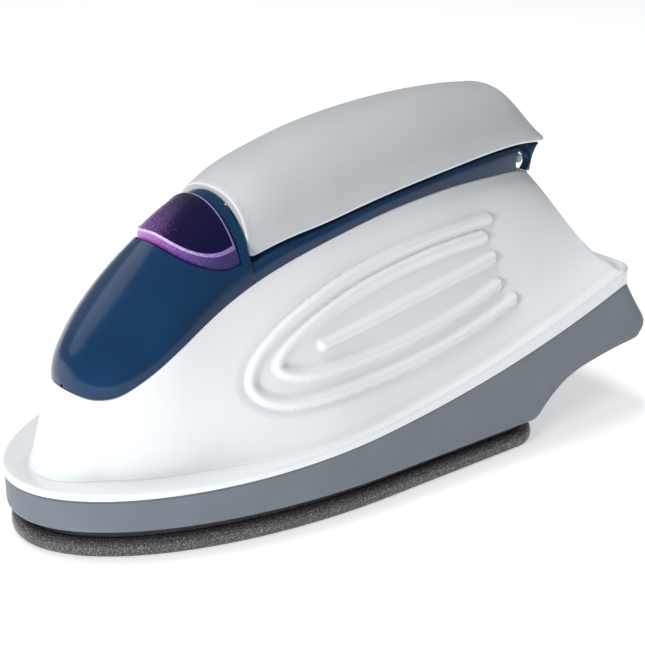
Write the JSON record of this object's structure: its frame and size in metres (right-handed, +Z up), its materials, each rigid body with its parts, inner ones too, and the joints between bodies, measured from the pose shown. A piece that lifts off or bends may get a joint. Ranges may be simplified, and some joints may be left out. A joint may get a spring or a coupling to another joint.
{
  "type": "clothes iron",
  "caption": "Compact palm-grip clothes iron: pointed soleplate, grey skirt sweeping up to a heel, white body, dark hood with a push key, satin grip and a cord swivel at the tail.",
  "frame": {"origin": "under the middle of the iron's outer box, on the plane the soleplate rests on", "axes": "+Z up, nose towards -X, heel towards +X"},
  "size_m": [0.2024, 0.0904, 0.1028],
  "materials": {
    "white_gloss": "glossy moulded",
    "skirt_grey": "matte moulded",
    "nonstick": "dark sparkling non-stick coat",
    "navy_gloss": "polished moulded",
    "grip_satin": "satin moulded",
    "key_purple": "tinted translucent",
    "steel": "plain",
    "brass": "plain",
    "ceramic": "unglazed",
    "black_plastic": "moulded",
    "lamp_glass": "clear tinted",
    "aluminium": "rolled sheet",
    "silicone_lead": "smooth"
  },
  "bodies": {
    "iron": {"body_shell": "white_gloss", "skirt": "skirt_grey", "soleplate": "nonstick", "hood": "navy_gloss", "grip_cap": "grip_satin", "grip_screw_front": "steel", "grip_screw_rear": "steel", "heating_element": "steel", "element_bush_left": "ceramic", "element_bush_right": "ceramic", "element_pin_left": "brass", "element_pin_right": "brass", "thermostat_foot": "steel", "thermostat_stack": "ceramic", "bimetal_strip": "brass", "stack_spacer": "ceramic", "contact_blade": "brass", "calibration_screw": "steel", "heat_shield": "aluminium", "shield_stud_front": "steel", "shield_stud_left": "steel", "shield_stud_right": "steel", "shield_nut_front": "steel", "shield_nut_left": "steel", "shield_nut_right": "steel", "thermal_fuse": "steel", "fuse_clip": "steel", "earth_tab": "brass", "terminal_block": "black_plastic", "terminal_screw_1": "brass", "terminal_screw_2": "brass", "terminal_screw_3": "brass", "lead_live": "silicone_lead", "lead_neutral": "silicone_lead", "lead_load": "silicone_lead", "cord_clamp": "black_plastic", "clamp_screw_left": "steel", "clamp_screw_right": "steel", "switch_body": "black_plastic", "pilot_lamp": "lamp_glass", "lamp_holder": "black_plastic", "swivel_pin": "steel", "key_spring": "steel"},
    "key": {"power_key": "key_purple", "switch_plunger": "steel"},
    "swivel": {"cord_swivel": "black_plastic"}
  },
  "joints": [
    {"name": "key_press", "type": "slide", "parent": "iron", "child": "key", "axis": [0.4067, 0, -0.9135], "range_m": [0, 0.0015], "stiffness_N_per_m": 800, "deforming": ["key_spring"]},
    {"name": "cord_swing", "type": "hinge", "parent": "iron", "child": "swivel", "pos_m": [0.075, 0, 0.0776], "axis": [0, 1, 0], "range_deg": [-20, 20]}
  ]
}
